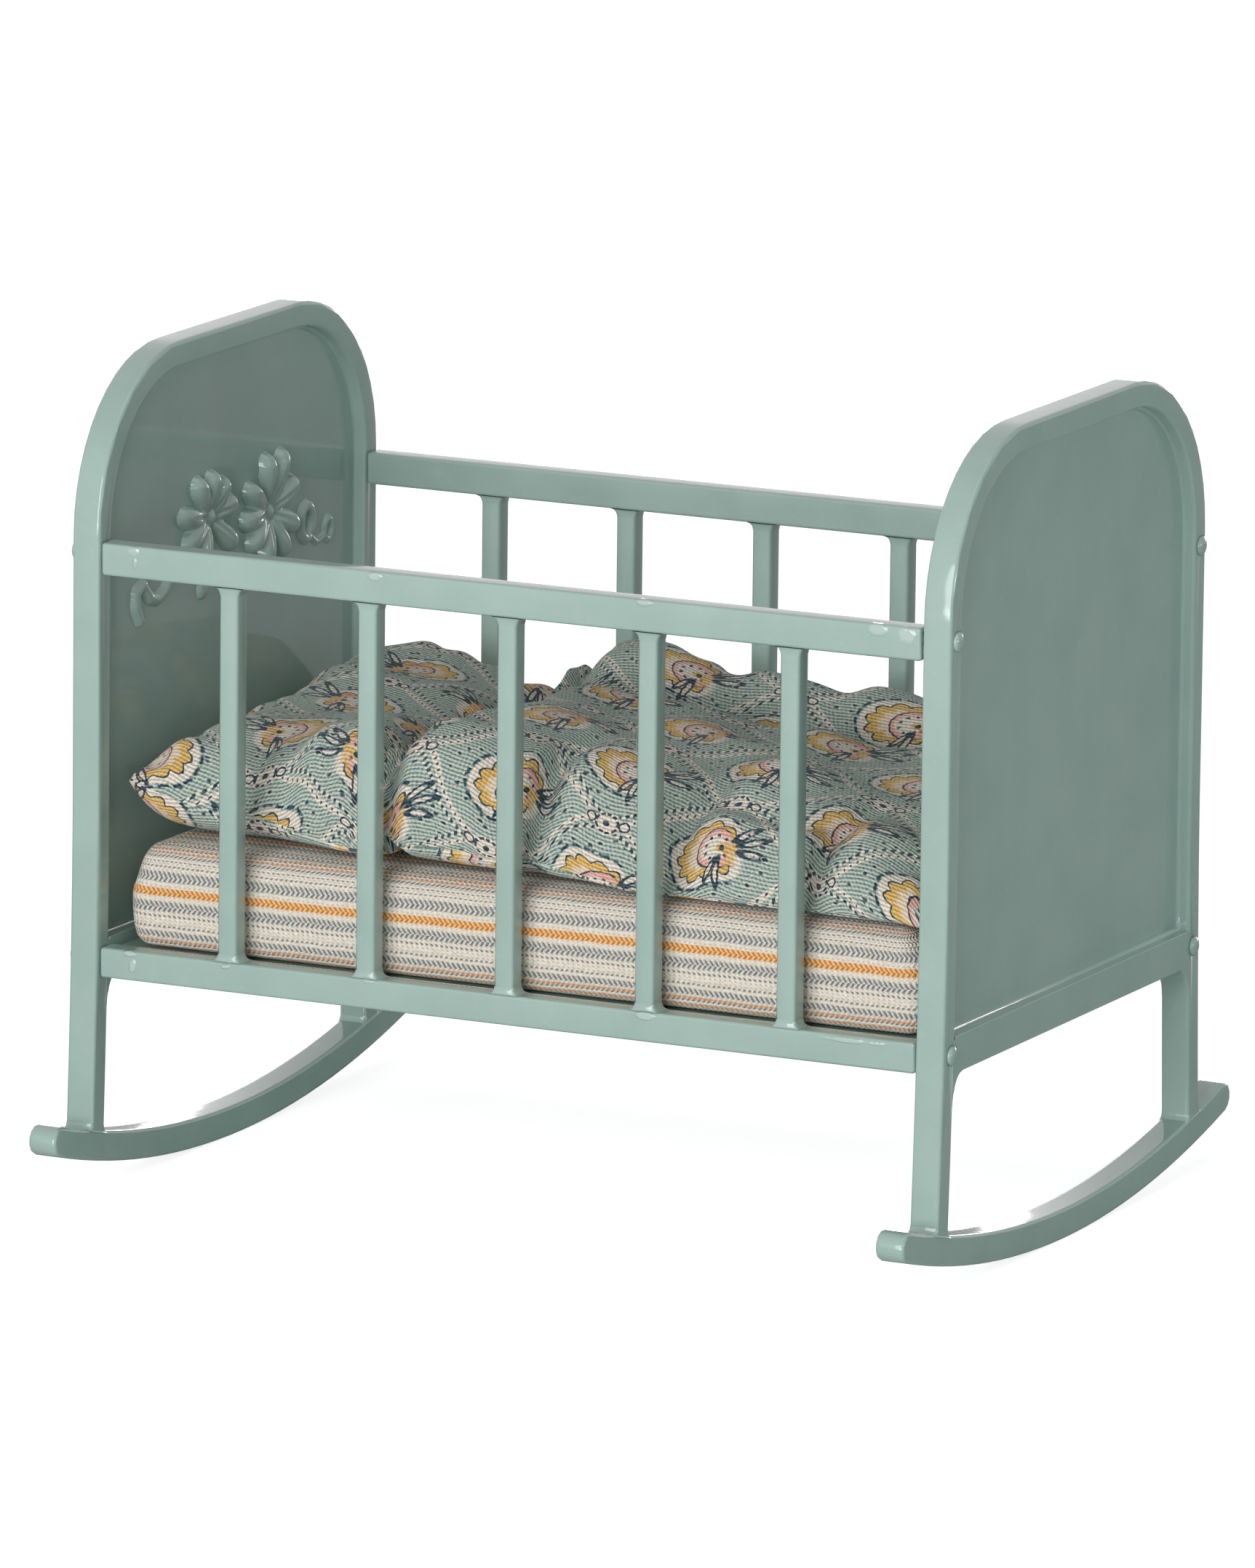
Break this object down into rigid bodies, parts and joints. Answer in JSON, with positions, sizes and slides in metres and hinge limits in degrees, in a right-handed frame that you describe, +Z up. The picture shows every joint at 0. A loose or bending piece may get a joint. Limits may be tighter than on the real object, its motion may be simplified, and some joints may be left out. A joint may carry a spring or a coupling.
{
  "type": "doll cradle",
  "caption": "Small painted metal rocking cradle with barred sides, arched solid ends and loose striped mattress, pillow and printed duvet.",
  "frame": {"origin": "on the floor under the middle of the cradle", "axes": "+X along the cradle towards the footboard, -Y towards the front side, +Z up"},
  "size_m": [0.1264, 0.1008, 0.109],
  "materials": {
    "green_paint": "glossy grey-green enamel",
    "striped_weave": "open dobby weave, cream with grey and orange stripes",
    "printed_twill": "fine cotton twill with a printed ogee pattern"
  },
  "bodies": {
    "frame": {"headboard_arch": "green_paint", "headboard_crossbar": "green_paint", "headboard_panel": "green_paint", "headboard_runner": "green_paint", "footboard_arch": "green_paint", "footboard_crossbar": "green_paint", "footboard_panel": "green_paint", "footboard_runner": "green_paint", "front_top_rail": "green_paint", "front_bottom_rail": "green_paint", "rear_top_rail": "green_paint", "rear_bottom_rail": "green_paint", "front_spindle_1": "green_paint", "front_spindle_2": "green_paint", "front_spindle_3": "green_paint", "front_spindle_4": "green_paint", "front_spindle_5": "green_paint", "rear_spindle_1": "green_paint", "rear_spindle_2": "green_paint", "rear_spindle_3": "green_paint", "rear_spindle_4": "green_paint", "rear_spindle_5": "green_paint", "rivet_headboard_front_top": "green_paint", "rivet_headboard_front_bottom": "green_paint", "rivet_headboard_rear_top": "green_paint", "rivet_headboard_rear_bottom": "green_paint", "rivet_footboard_front_top": "green_paint", "rivet_footboard_front_bottom": "green_paint", "rivet_footboard_rear_top": "green_paint", "rivet_footboard_rear_bottom": "green_paint", "bed_base": "green_paint"},
    "mattress": {"mattress": "striped_weave"},
    "pillow": {"pillow": "printed_twill"},
    "duvet": {"duvet": "printed_twill"}
  },
  "joints": [
    {"name": "mattress_lift", "type": "slide", "parent": "frame", "child": "mattress", "axis": [0, 0, 1], "range_m": [0, 0.08]},
    {"name": "pillow_lift", "type": "slide", "parent": "mattress", "child": "pillow", "axis": [0, 0, 1], "range_m": [0, 0.07]},
    {"name": "duvet_lift", "type": "slide", "parent": "pillow", "child": "duvet", "axis": [0, 0, 1], "range_m": [0, 0.07]}
  ]
}
